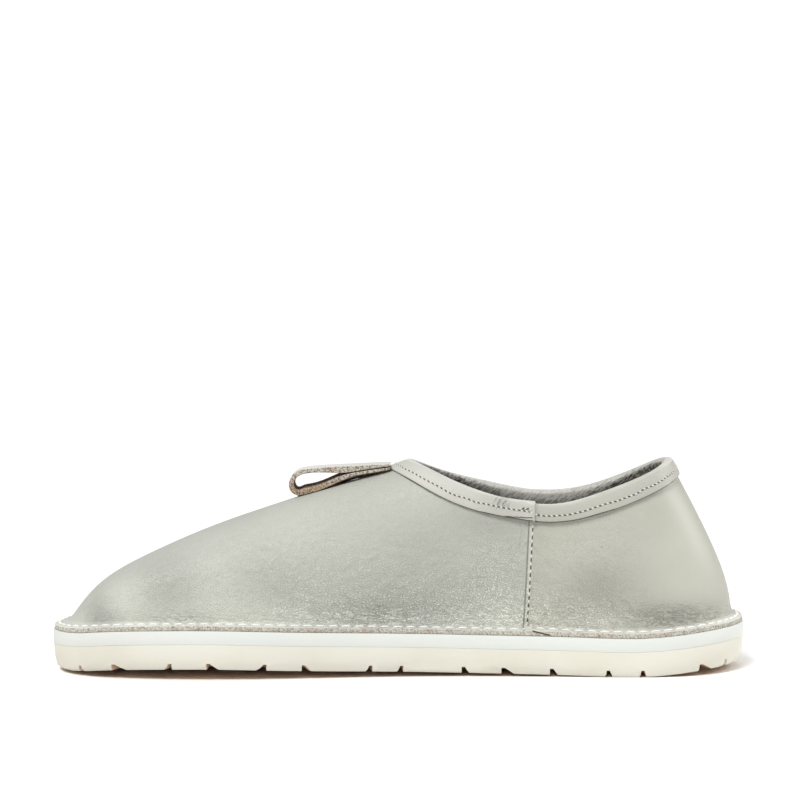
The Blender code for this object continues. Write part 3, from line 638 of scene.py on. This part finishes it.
hairs = add(tree, "ShaderNodeTexNoise", Vector=combed.outputs[0], Scale=1900.0, Detail=3.0)
dark = math_node(tree, "MAXIMUM", front_shade, shaded)
dark = math_node(tree, "ADD", dark, ranged(tree, hairs.outputs[0], 0.4, 0.62, -0.3, 0.25), clamp=True)
inside = mixed(tree, dark, nap.outputs["Color"], (0.06, 0.055, 0.045, 1.0))
turned_in = read_value(tree, "turned_in")
tree.links.new(mixed(tree, turned_in, outside, inside), shader.inputs["Base Color"])
shader.inputs["Specular IOR Level"].default_value = 0.3
gathered = math_node(tree, "ADD", grain.outputs["Height"], pucker)
nap_height = math_node(tree, "MULTIPLY", math_node(tree, "MULTIPLY", nap.outputs["Height"], 0.7), turned_in)
bumped(tree, shader, math_node(tree, "ADD", gathered, nap_height), 0.3 * MM, 1.0)
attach(binding, "root")
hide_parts("collar_binding")
binding_tree = BVHTree.FromObject(binding, bpy.context.evaluated_depsgraph_get())

# Pull loop: a strap of the same leather folded into a teardrop and tucked under the binding at the throat.
# Its cut edges are raw, browner at the tip, and the two arms lie pressed together at the root. The grain side
# is out and the brown flesh side in. The underside of the lower arm is given the dark flesh side's material
# as painted shade in the gap under it, and the rounded rims are painted paler as a highlight.
ROOT_X, ROOT_Y, ROOT_Z, STRAP_WIDTH = -4.9, -6.53, 76.8, 14.0
# The strap from its upper end round the tip to its lower end: its two sides, forward and up from the root
Fold = namedtuple("Fold", "grain_forward grain_up flesh_forward flesh_up")
FOLDS = (
    Fold(-1.2, 2.60, -1.2, 1.70),
    Fold(5.0, 2.40, 5.0, 0.92),
    Fold(10.5, 2.10, 10.5, 0.02),
    Fold(15.7, 1.85, 15.4, -0.76),
    Fold(19.6, 1.70, 19.0, -1.05),
    Fold(23.0, 1.50, 22.3, -0.85),
    Fold(26.8, 1.25, 26.2, -0.72),
    Fold(30.5, 0.90, 30.0, -0.90),
    Fold(33.2, 0.50, 32.6, -1.25),
    Fold(35.4, -0.20, 34.4, -1.95),
    Fold(37.0, -1.40, 35.6, -2.90),
    Fold(38.1, -3.00, 36.3, -4.10),
    Fold(38.6, -4.90, 36.5, -5.20),
    Fold(38.5, -6.70, 36.3, -6.15),
    Fold(37.8, -8.20, 35.8, -6.90),
    Fold(36.7, -9.25, 35.0, -7.40),
    Fold(35.2, -9.65, 34.0, -7.50),
    Fold(33.3, -9.35, 32.5, -6.75),
    Fold(31.2, -8.95, 30.4, -6.50),
    Fold(28.0, -8.20, 27.2, -5.75),
    Fold(24.5, -6.95, 23.5, -4.30),
    Fold(20.5, -5.10, 19.6, -2.40),
    Fold(15.5, -2.80, 15.2, -0.95),
    Fold(10.5, -1.40, 10.3, -0.20),
    Fold(5.0, -0.75, 5.0, 0.62),
    Fold(-1.2, 0.40, -1.2, 1.40),
)
TIP, LOWER_ARM_DROOP, FLESH_TILT = 15, 2.4, 0.5
GRAIN_SIDE, CUT_EDGE, FLESH_SIDE, HIGHLIT_RIM = 0, 1, 2, 3
corners, faces, kinds = [], [], []
for index, fold in enumerate(FOLDS):
    droop, tilt = (LOWER_ARM_DROOP, FLESH_TILT) if index > TIP else (0.0, 0.0)
    grain_line = (fold.grain_forward, fold.grain_up, droop)
    flesh_line = (fold.flesh_forward, fold.flesh_up, -tilt)
    for forward, up, sag in (grain_line, flesh_line):
        for side, down in ((-0.5, 0.0), (0.5, sag)):
            across = ROOT_Y + side * STRAP_WIDTH
            corners.append(((ROOT_X - forward) * MM, across * MM, (ROOT_Z + up - down) * MM))
for i in range(0, 4 * len(FOLDS) - 4, 4):
    for a, b, kind in ((0, 1, GRAIN_SIDE), (1, 3, CUT_EDGE), (3, 2, FLESH_SIDE), (2, 0, CUT_EDGE)):
        faces.append((i + a, i + b, i + b + 4, i + a + 4))
        # The lower arm's underside gets the dark flesh side's material as painted shade
        kinds.append(FLESH_SIDE if kind == GRAIN_SIDE and i > 4 * (TIP + 2) else kind)
last = 4 * len(FOLDS) - 4
faces += [(2, 3, 1, 0), (last, last + 1, last + 3, last + 2)]
kinds += [CUT_EDGE, CUT_EDGE]
mesh = bpy.data.meshes.new("leather_pull_loop")
mesh.from_pydata(corners, [], faces)
mesh.polygons.foreach_set("material_index", kinds)
loop = bpy.data.objects.new("leather_pull_loop", mesh)
bpy.context.scene.collection.objects.link(loop)
bpy.ops.object.select_all(action="DESELECT")
bpy.context.view_layer.objects.active = loop
loop.select_set(True)
bpy.ops.object.mode_set(mode="EDIT")
bpy.ops.mesh.select_all(action="SELECT")
bpy.ops.mesh.normals_make_consistent(inside=False)
bpy.ops.object.mode_set(mode="OBJECT")
modified(loop, "BEVEL", width=0.3 * MM, segments=2, limit_method="ANGLE", angle_limit=math.radians(60),
         material=HIGHLIT_RIM)
modified(loop, "SUBSURF", levels=2)
bpy.ops.object.shade_smooth()
tree, shader, grain = grained(loop, "strap_leather_looks", base=(0.6, 0.595, 0.55, 1.0),
                              pale=(0.66, 0.65, 0.61, 1.0), deep=(0.45, 0.445, 0.4, 1.0), grain_scale=1300.0)
bumped(tree, shader, grain.outputs["Height"], 0.12 * MM, 0.6)

BROWNED_Z = (69.0, 75.0)
tree, shader, fibres = fibrous(loop, "strap_cut_edge", base=(0.52, 0.485, 0.42, 1.0),
                               dark=(0.13, 0.095, 0.065, 1.0), rust=(0.55, 0.36, 0.25, 1.0),
                               fibre_scale=1500.0, pits=1.0, roughness=0.9)
spot = add(tree, "ShaderNodeSeparateXYZ", Vector=place_of(tree))
browned = ranged(tree, spot.outputs["Z"], BROWNED_Z[0] * MM, BROWNED_Z[1] * MM, 0.8, 0.0)
tree.links.new(mixed(tree, browned, fibres.outputs["Color"], (0.78, 0.6, 0.45, 1.0), "MULTIPLY"),
               shader.inputs["Base Color"])
bumped(tree, shader, fibres.outputs["Height"], 0.3 * MM, 0.8)

tree, shader, fibres = fibrous(loop, "strap_flesh_side", base=(0.27, 0.18, 0.125, 1.0),
                               dark=(0.1, 0.065, 0.045, 1.0), rust=(0.38, 0.22, 0.14, 1.0),
                               fibre_scale=800.0, pits=0.6, roughness=0.95)
bumped(tree, shader, fibres.outputs["Height"], 0.25 * MM, 0.7)

# Paler rim along the rounded edges: a painted highlight
tree, shader = new_material(loop, "strap_rim_painted_highlight")
grain = add(tree, "ShaderNodeGroup", {"node_tree": leather_grain}, Base=(0.68, 0.67, 0.62, 1.0),
            Pale=(0.72, 0.7, 0.66, 1.0), Deep=(0.4, 0.37, 0.32, 1.0), Grain_Scale=1300.0, Creased=0.2)
tree.links.new(grain.outputs["Color"], shader.inputs["Base Color"])
shader.inputs["Roughness"].default_value = 0.7
bumped(tree, shader, grain.outputs["Height"], 0.12 * MM, 0.6)
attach(loop, "root")
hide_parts("pull_loop")


# Flange thread: thick white waxed thread in a running stitch through the turned-out edge and the midsole.
# It runs round the whole shoe, close to the wall, and holds the upper to the sole.
def evenly(path, pitch):
    """Points at an even pitch along a closed or open path of vectors."""
    points = np.array(path)
    steps = np.linalg.norm(np.diff(points, axis=0), axis=1)
    walked = np.concatenate(([0.0], np.cumsum(steps)))
    wanted = np.linspace(0.0, walked[-1], max(int(round(walked[-1] / pitch)), 1) + 1)
    return np.stack([np.interp(wanted, walked, points[:, i]) for i in range(3)], axis=1)


def stitch_row(name, path, normals, share, wide, tall, rise, color, twist=0.0):
    """Row of twisted stitches as one piece, each over a share of the way between two points of a path."""
    bpy.ops.object.select_all(action="DESELECT")
    bpy.ops.mesh.primitive_uv_sphere_add(segments=8, ring_count=7, radius=1.0)
    bead = bpy.context.object.data
    shape = np.array([vertex.co[:] for vertex in bead.vertices])
    faces = [tuple(face.vertices) for face in bead.polygons]
    bpy.data.objects.remove(bpy.context.object)
    points, sides = [], []
    for i in range(len(path) - 1):
        start, end = Vector(path[i]), Vector(path[i + 1])
        ahead = end - start
        up = (Vector(normals[i]) + Vector(normals[i + 1])).normalized()
        across = ahead.cross(up).normalized()
        up = across.cross(ahead).normalized()
        half = 0.5 * share * ahead.length
        ahead = ahead.normalized() * math.cos(twist) + across * math.sin(twist)
        across = ahead.cross(up).normalized()
        middle = (start + end) / 2 + up * rise
        arch = 1.0 - np.abs(shape[:, 2]) ** 2
        run = np.sign(shape[:, 2]) * np.abs(shape[:, 2]) ** 0.8 * half
        place = np.array(middle) + np.outer(run, ahead.normalized())
        place = place + np.outer(shape[:, 0] * wide / 2, across)
        place = place + np.outer(shape[:, 1] * tall / 2 + (arch - 1.0) * tall * 0.45, up)
        sides += [tuple(v + len(points) for v in face) for face in faces]
        points += place.tolist()
    mesh = bpy.data.meshes.new(name)
    mesh.from_pydata(points, [], sides)
    mesh.shade_smooth()
    piece = bpy.data.objects.new(name, mesh)
    bpy.context.scene.collection.objects.link(piece)
    tree, shader = new_material(piece, name + "_looks")
    fibre = add(tree, "ShaderNodeTexNoise", Vector=place_of(tree), Scale=2500.0, Detail=2.0)
    dull = tuple(c * 0.75 for c in color[:3]) + (1.0,)
    tree.links.new(mixed(tree, fibre.outputs[0], color, dull), shader.inputs["Base Color"])
    shader.inputs["Roughness"].default_value = 0.6
    bumped(tree, shader, fibre.outputs[0], 0.1 * MM, 0.6)
    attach(piece, "root")


FLANGE_ROW_INSET = 2.3
FLANGE_PITCH = 4.9
edge = evenly(midsole_rim, FLANGE_PITCH * MM)
row, row_normals = [], []
for i in range(len(edge)):
    ahead = Vector(edge[(i + 1) % (len(edge) - 1)] - edge[i - 1 if i else -2])
    inward = Vector((-ahead.y, ahead.x, 0.0)).normalized()
    spot = Vector(edge[i]) + inward * FLANGE_ROW_INSET * MM
    hit = upper_tree.ray_cast(spot + Vector((0, 0, 4.0 * MM)), Vector((0, 0, -1)))
    row.append(hit[0] if hit[0] else spot)
    row_normals.append(hit[1] if hit[0] else Vector((0, 0, 1)))
stitch_row("flange_thread", row, row_normals, share=0.82, wide=1.3 * MM, tall=0.6 * MM, rise=0.1 * MM,
           color=(0.96, 0.95, 0.91, 1.0))

# Binding seam: thin pale thread sewn by machine through both faces of the binding, each stitch drawn down
# into a needle hole, whose shade is painted as a dark bead. The row follows the strip's lower edge and is
# sewn back over itself at the lap.
BINDING_PITCH = 2.0
# Height of the row above the lower edge, by place along the shoe
ROW_X = (-10.0, 50.0, 52.0, 65.0, 80.0, 120.0)
ROW_ABOVE = (3.4, 3.2, 2.3, 2.4, 2.9, 3.0)
# The lapped end leaves this much of the strip below it showing, by place along the shoe
LAP_X = (40.0, 51.2)
LAP_SHOWS = (0.15, 1.1)
# The strip is felt for from outside: round the collar in even turns, and at each turn upwards in even levels
TURNS, LEVELS, LOWEST_LEVEL, LEVEL_STEP = 240, 320, 62, 0.2
edge, lap_edge, row, row_normals = [], [], [], []
for step in range(TURNS + 1):
    turn = 2 * math.pi * step / TURNS
    out = Vector((math.cos(turn), math.sin(turn) * 0.7, 0.0)).normalized()
    ray = Vector((-out.x, -out.y, -0.25)).normalized()
    walked, before, lapped = 0.0, None, False
    for level in range(LEVELS):
        start = collar_middle + out * 150 * MM
        start.z = (LOWEST_LEVEL + level * LEVEL_STEP) * MM
        spot, normal, _, far = binding_tree.ray_cast(start, ray)
        wall = upper_tree.ray_cast(start, ray)
        if spot is None or normal.dot(out) < -0.2 or (wall[0] is not None and wall[3] < far):
            continue
        if before is None:
            edge.append(spot)
        else:
            walked += (spot - before).length
        before = spot
        shows = np.interp(spot.x / MM, LAP_X, LAP_SHOWS)
        if spot.y < 0.0 and LAP_X[0] < spot.x / MM < LAP_X[1] and not lapped and walked > shows * MM:
            lap_edge.append(spot)
            lapped = True
        if walked > np.interp(spot.x / MM, ROW_X, ROW_ABOVE) * MM:
            row.append(spot)
            row_normals.append(normal)
            break


def machine_seam(name, path, normals, pitch, twist=0.0):
    """Row of dark beads as painted shade of needle holes, with thread between them along a path."""
    holes = evenly(path, pitch)
    spots = np.array(path)
    facing = [normals[int(((spots - hole) ** 2).sum(1).argmin())] for hole in holes]
    threads = (holes[1:] + holes[:-1]) / 2
    if np.linalg.norm(holes[0] - holes[-1]) < pitch:
        threads = np.vstack((threads, threads[:1]))
    stitch_row(name + "_holes", threads, facing, share=0.72, wide=0.55 * MM, tall=0.5 * MM, rise=0.0,
               color=(0.08, 0.075, 0.06, 1.0), twist=twist)
    stitch_row(name + "_thread", holes, facing, share=0.5, wide=0.7 * MM, tall=0.6 * MM, rise=0.1 * MM,
               color=(0.69, 0.68, 0.62, 1.0), twist=twist)


machine_seam("binding_seam", row, row_normals, BINDING_PITCH * MM, math.radians(20))
BACK_X, BACK_ABOVE = (44.5, 50.9), (0.7, 1.3)
back, back_normals = [], []
for spot, normal in zip(row, row_normals):
    if spot.y < 0.0 and BACK_X[0] * MM < spot.x < BACK_X[1] * MM:
        back.append(spot + Vector((0.0, 0.0, BACK_ABOVE[len(back) % 2] * MM)))
        back_normals.append(normal)
machine_seam("binding_backstitch", back, back_normals, BINDING_PITCH * MM, math.radians(-25))

# Cut edge of the binding: a thin dark line along the strip's raw lower edge, which stands off the wall round
# the collar; it is near black as painted shadow under the binding. A second piece is the edge of the lapped
# end, a painted shadow line over the strip below it.
EDGE_THICK = 0.4
LAP_END_X, LAP_END_REACH = 51.4, 6


def edge_line(name, path, thick):
    """Thin round line along a path of points, as a mesh piece."""
    data = bpy.data.curves.new(name, "CURVE")
    data.dimensions = "3D"
    data.bevel_depth = thick / 2
    data.bevel_resolution = 1
    line = data.splines.new("POLY")
    line.points.add(len(path) - 1)
    for point, spot in zip(line.points, path):
        point.co = (*spot, 1.0)
    piece = bpy.data.objects.new(name, data)
    bpy.context.scene.collection.objects.link(piece)
    bpy.ops.object.select_all(action="DESELECT")
    bpy.context.view_layer.objects.active = piece
    piece.select_set(True)
    bpy.ops.object.convert(target="MESH")
    bpy.ops.object.shade_smooth()
    return bpy.context.object


smooth_edge = []
for i in range(len(edge)):
    group = [edge[(i + k) % (len(edge) - 1)] for k in (-2, -1, 0, 1, 2)]
    stepped = edge[i].y <= 0 and abs(edge[i].x / MM - LAP_END_X) <= LAP_END_REACH
    smooth_edge.append(edge[i] if stepped else sum(group, Vector()) / len(group))
edge_shadow_line = edge_line("binding_edge_shadow_line", smooth_edge, EDGE_THICK * MM)
fibrous(edge_shadow_line, "binding_edge_shadow_looks", base=(0.1, 0.095, 0.08, 1.0), dark=(0.04, 0.035, 0.03, 1.0),
        rust=(0.12, 0.1, 0.08, 1.0), fibre_scale=1500.0, pits=0.6, roughness=0.9)
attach(edge_shadow_line, "root")
lap = edge_line("binding_lap_shadow_line", lap_edge, EDGE_THICK * MM)
lap.data.materials.append(edge_shadow_line.data.materials[0])
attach(lap, "root")

# Side seams: the lapped edge of the quarter is sewn to the vamp with the same thread, one row on each side,
# from the flange up to the binding. The outer one is a guess, the mirror of the inner.
SEAM_PITCH, SEAM_FOOT, SEAM_LEVELS, SEAM_STEP = 2.8, 19.0, 80, 0.5
# How far the stitches lie behind the cut edge at the foot, and how much more for each millimetre up
STITCH_BEHIND, STITCH_SPREAD = 1.15, 0.003
for name, side in (("inner_seam", -1.0), ("outer_seam", 1.0)):
    row, row_normals = [], []
    for level in range(SEAM_LEVELS):
        z = SEAM_FOOT + level * SEAM_STEP
        behind = STITCH_BEHIND + STITCH_SPREAD * (z - SEAM_FOOT)
        start = Vector(((SEAM_X - SEAM_LEAN * (SEAM_Z - z) + behind) * MM, side * 150 * MM, z * MM))
        ray = Vector((0.0, -side, 0.0))
        spot, normal, _, far = upper_tree.ray_cast(start, ray)
        over = binding_tree.ray_cast(start, ray)
        if spot is not None and (over[0] is None or over[3] > far):
            row.append(spot)
            row_normals.append(normal)
    machine_seam(name, row, row_normals, SEAM_PITCH * MM)

# Floor: the white paper of a studio, lying flat and wide, bright enough to run into the white behind it.
# It belongs to the stage and not to the shoe.
bpy.ops.object.select_all(action="DESELECT")
bpy.ops.mesh.primitive_plane_add(size=40.0)
floor = bpy.context.object
floor.name = "studio_floor"
tree, shader = new_material(floor, "white_paper")
shader.inputs["Base Color"].default_value = (0.95, 0.94, 0.925, 1.0)
shader.inputs["Roughness"].default_value = 0.9
shader.inputs["Specular IOR Level"].default_value = 0.1

# Light: a white studio all round, a broad soft light from above, and one soft box at each end of the shoe.
# The camera sees the studio about twice as bright as it lights the shoe.
world = bpy.data.worlds.new("white_studio")
bpy.context.scene.world = world
world.use_nodes = True
tree = world.node_tree
seen = tree.nodes.new("ShaderNodeLightPath").outputs["Is Camera Ray"]
background = tree.nodes["Background"]
background.inputs["Color"].default_value = (1.0, 1.0, 1.0, 1.0)
tree.links.new(ranged(tree, seen, 0.0, 1.0, 0.5, 1.05), background.inputs["Strength"])

sun = bpy.data.objects.new("overhead", bpy.data.lights.new("overhead", "SUN"))
sun.data.energy = 2.5
sun.data.angle = math.radians(24)
sun.rotation_euler = Vector((0.35, 0.5, -0.79)).to_track_quat("-Z", "Y").to_euler()
bpy.context.scene.collection.objects.link(sun)


def soft_box(name, spot, aim, size, power):
    """Square area light at a spot, turned to a point."""
    light = bpy.data.objects.new(name, bpy.data.lights.new(name, "AREA"))
    light.data.size = size
    light.data.energy = power
    light.location = spot
    light.rotation_euler = (Vector(aim) - Vector(spot)).to_track_quat("-Z", "Y").to_euler()
    bpy.context.scene.collection.objects.link(light)


soft_box("toe_box", (-0.7, -0.2, 0.35), (-0.1, 0.0, 0.04), 0.4, 0.5)
soft_box("heel_box", (0.7, 0.1, 0.4), (0.1, 0.0, 0.05), 0.4, 2.6)

# Camera: a long lens on the shoe's inner side, a little above it and looking slightly down, as in the photo.
# The picture is square.
view = bpy.data.objects.new("camera", bpy.data.cameras.new("camera"))
view.location = (0.0, -0.870, 0.146)
view.rotation_euler = (math.radians(90 - 2.78), 0.0, 0.0)
view.data.lens = 99.18
view.data.sensor_width = 36.0
bpy.context.scene.collection.objects.link(view)
bpy.context.scene.camera = view
bpy.context.scene.view_settings.view_transform = "Standard"
